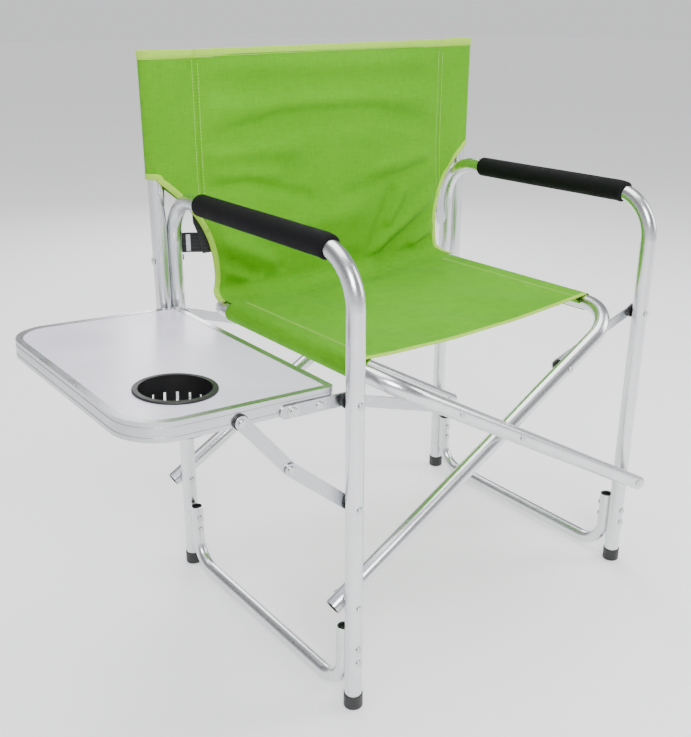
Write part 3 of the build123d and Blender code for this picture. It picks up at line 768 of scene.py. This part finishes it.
# ------------------------------------------------------------------ foam, strap and small parts
def make_grip(side):
    """Foam sleeve with softly rounded ends and the slight unevenness of foam."""
    name = "left" if side < 0 else "right"
    x = LEFT_X if side < 0 else RIGHT_X
    front = LEFT_FRONT if side < 0 else RIGHT_FRONT
    rear = LEFT_REAR if side < 0 else RIGHT_REAR
    bend_start = front + ARM_BEND
    straight = rear - GRIP_REAR_GAP - bend_start
    wrap = math.radians(GRIP_WRAP_DEG)
    total = straight + ARM_BEND * wrap
    outer, inner, nose = GRIP_R, TUBE_R + 0.0003, 0.0035

    def centre(s):
        if s <= straight:
            return Vector((x, rear - GRIP_REAR_GAP - s, ARM_Z)), Vector((0, 0, 1))
        a = (s - straight) / ARM_BEND
        c = Vector((x, bend_start, ARM_Z - ARM_BEND))
        up = Vector((0, -math.sin(a), math.cos(a)))
        return c + up * ARM_BEND, up

    stations = []
    for a in np.linspace(0, math.pi / 2, 6):
        stations.append((nose * (1 - math.cos(a)), outer - nose + nose * math.sin(a)))
    for s in np.linspace(nose, total - nose, 60)[1:-1]:
        stations.append((s, outer))
    for a in np.linspace(math.pi / 2, 0, 6):
        stations.append((total - nose * (1 - math.cos(a)), outer - nose + nose * math.sin(a)))
    lip = 0.0008
    stations = [(lip, inner), (0.0, inner + lip)] + stations + [(total, inner + lip), (total - lip, inner)]
    count = 40
    verts = []
    for s, r in stations:
        p, up = centre(s)
        for k in range(count):
            a = 2 * math.pi * k / count
            wobble = 0.00005 * math.sin(3 * a + 40 * s) + 0.00004 * math.sin(95 * s + a)
            radius = r + (wobble if r > outer - 0.001 else 0.0)
            verts.append(p + up * (radius * math.cos(a)) + Vector((radius * math.sin(a), 0, 0)))
    faces = grid_faces(len(stations), count, wrap_cols=True)
    back = len(verts)
    for s in np.linspace(total - lip, lip, 12):
        p, up = centre(s)
        for k in range(count):
            a = 2 * math.pi * k / count
            verts.append(p + up * (inner * math.cos(a)) + Vector((inner * math.sin(a), 0, 0)))
    faces += [tuple(back + i for i in f) for f in grid_faces(12, count, wrap_cols=True)]
    piece = new_piece(f"grip_{name}", verts, faces, "grip_foam")
    weld = piece.modifiers.new("weld", "WELD")
    weld.merge_threshold = 0.00002
    apply_modifiers(piece)
    for polygon in piece.data.polygons:
        polygon.use_smooth = True
    return piece


def make_strap():
    """Webbing behind the back, from the left rear leg across to the right."""
    points = []
    for t in np.linspace(0, 1, 12):
        x = -STRAP_LEFT + 0.035 * t
        ease = smoothstep(t)
        points.append((x, 0.001 * (1 - ease) + STRAP_BEHIND * ease))
    for x in np.linspace(0.035 - STRAP_LEFT, STRAP_RIGHT, 60)[1:]:
        points.append((x, STRAP_BEHIND))
    rows = []
    for z in np.linspace(STRAP_BOTTOM, STRAP_TOP, 9):
        rows.append([Vector((MID_X + x, base_line(x) + y, z)) for x, y in points])
    return grid_piece("strap_webbing", rows, "black_webbing", 0.0016)


def make_dark_strip():
    """Black sheet behind the left edge of the back cloth, above the strap, standing out past the edge less
    towards the top.
    """
    rows = []
    for t in np.linspace(0, 1, 14):
        z = 0.5032 + 0.064 * t
        edge = back_half_width(z)
        outer = edge + 0.0105 * (1 - t) ** 0.6 + 0.0035
        row = []
        for u in np.linspace(0, 1, 8):
            x = outer + (edge - 0.014 - outer) * u
            x = min(x, STITCH_HALF + 0.016)
            p = back_point(-min(x, STITCH_HALF), z)
            row.append(Vector((MID_X - x, p.y + 0.0030, z)))
        rows.append(row)
    return grid_piece("strap_dark_strip", rows, "black_webbing", 0.0012)


# ------------------------------------------------------------------ assemble
def follow(piece, how):
    """Ride on the left or right frame by the part of the back a piece belongs to; middle-panel pieces ride on
    the left frame with a mesh of their own.
    """
    if how == "left":
        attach(piece, "left_frame")
    elif how == "right":
        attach(piece, "right_frame")
    else:
        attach(piece, "left_frame")
        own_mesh(piece)


panel = make_back_panel()
sleeve_left = make_back_sleeve(-1)
sleeve_right = make_back_sleeve(1)
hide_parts("back_fabric")
for piece, how in ((panel, "panel"), (sleeve_left, "left"), (sleeve_right, "right")):
    follow(piece, how)
trims = make_back_bindings() + make_back_stitching()
for piece, how in trims:
    follow(piece, how)

seat = make_seat()
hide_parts("seat_fabric")
seat_trims = [make_seat_binding()] + make_seat_stitching()
for piece in [seat] + seat_trims:
    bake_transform(piece)

for side, body in ((-1, "left_frame"), (1, "right_frame")):
    grip = make_grip(side)
    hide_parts(f"{'left' if side < 0 else 'right'}_armrest_foam")
    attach(grip, body)

strap = make_strap()
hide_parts("lumbar_strap")
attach(strap, "left_frame")
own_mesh(strap)
dark_strip = make_dark_strip()
follow(dark_strip, "panel")

# smooth shading on the carried-over parts
for name, piece in nodes.items():
    if not piece.hide_render:
        piece.data.shade_smooth()


# ------------------------------------------------------------------ studio
def make_studio():
    bpy.ops.mesh.primitive_plane_add(size=60, location=(0, 0, -0.0005))
    floor = bpy.context.object
    floor.name = "studio_floor"
    s = Shader("studio_floor", (0.93, 0.93, 0.93), 0.8, Specular_IOR_Level=0.1)
    s.rough(s.ramp(s.noise(s.coords(), 3.0, 2.0), 0.3, 0.7, 0.7, 0.8))
    s.put("Emission Color", (1.0, 1.0, 1.0, 1.0))
    s.put("Emission Strength", 0.38)
    floor.data.materials.append(s.mat)
    world = bpy.data.worlds.new("studio")
    world.use_nodes = True
    tree = world.node_tree
    back = tree.nodes["Background"]
    source = tree.nodes.new("ShaderNodeTexCoord")
    split = tree.nodes.new("ShaderNodeSeparateXYZ")
    ramp = tree.nodes.new("ShaderNodeValToRGB")
    stops = ramp.color_ramp.elements
    stops[0].position, stops[0].color = 0.0, (0.86, 0.86, 0.86, 1.0)
    stops[1].position, stops[1].color = 1.0, (0.85, 0.85, 0.85, 1.0)
    for place, level in ((0.05, 0.86), (0.24, 0.45), (0.55, 0.28)):
        stop = stops.new(place)
        stop.color = (level, level, level, 1.0)
    tree.links.new(source.outputs["Generated"], split.inputs["Vector"])
    tree.links.new(split.outputs["Z"], ramp.inputs["Fac"])
    tree.links.new(ramp.outputs["Color"], back.inputs["Strength"])
    back.inputs["Color"].default_value = (0.97, 0.98, 1.0, 1.0)
    bpy.context.scene.world = world

    def area(name, location, target, size, size_y, power, color=(1, 1, 1)):
        data = bpy.data.lights.new(name, "AREA")
        data.shape = "RECTANGLE"
        data.size, data.size_y, data.energy, data.color = size, size_y, power, color
        lamp = bpy.data.objects.new(name, data)
        bpy.context.scene.collection.objects.link(lamp)
        lamp.location = location
        aim = Vector(target) - Vector(location)
        lamp.rotation_euler = aim.to_track_quat("-Z", "Y").to_euler()
        return lamp

    area("key", (-1.3, -2.4, 2.3), (0, 0, 0.35), 1.3, 1.3, 96)
    area("fill", (2.3, -1.2, 1.5), (0, 0, 0.4), 1.0, 1.8, 34)
    area("top", (0.1, 0.4, 2.8), (0, 0, 0.3), 2.2, 2.2, 60)
    area("rim", (1.2, 2.2, 1.6), (0, 0, 0.4), 1.0, 1.6, 26)


def make_camera():
    """Camera at the solved place, in the working frame of the chair moved to the model's origin."""
    data = bpy.data.cameras.new("camera")
    data.sensor_fit = "HORIZONTAL"
    data.sensor_width = 36.0
    data.lens = 48.50
    data.clip_start, data.clip_end = 0.05, 100.0
    camera = bpy.data.objects.new("camera", data)
    bpy.context.scene.collection.objects.link(camera)
    origin = Vector((MID_X, (LEFT_FRONT + LEFT_REAR) / 2, 0))
    yaw, pitch, roll = (math.radians(a) for a in (37.19, 20.82, 0.18))
    camera.location = origin + Vector((-0.8601, -0.9668, 0.8224))
    ahead = Vector((math.sin(yaw) * math.cos(pitch), math.cos(yaw) * math.cos(pitch), -math.sin(pitch)))
    right = Vector((math.cos(yaw), -math.sin(yaw), 0))
    up = right.cross(ahead)
    right_rolled = right * math.cos(roll) + up * math.sin(roll)
    up_rolled = right_rolled.cross(ahead)
    turn = Matrix((right_rolled, up_rolled, -ahead)).transposed()
    camera.rotation_euler = turn.to_euler()
    bpy.context.scene.camera = camera


make_studio()
make_camera()
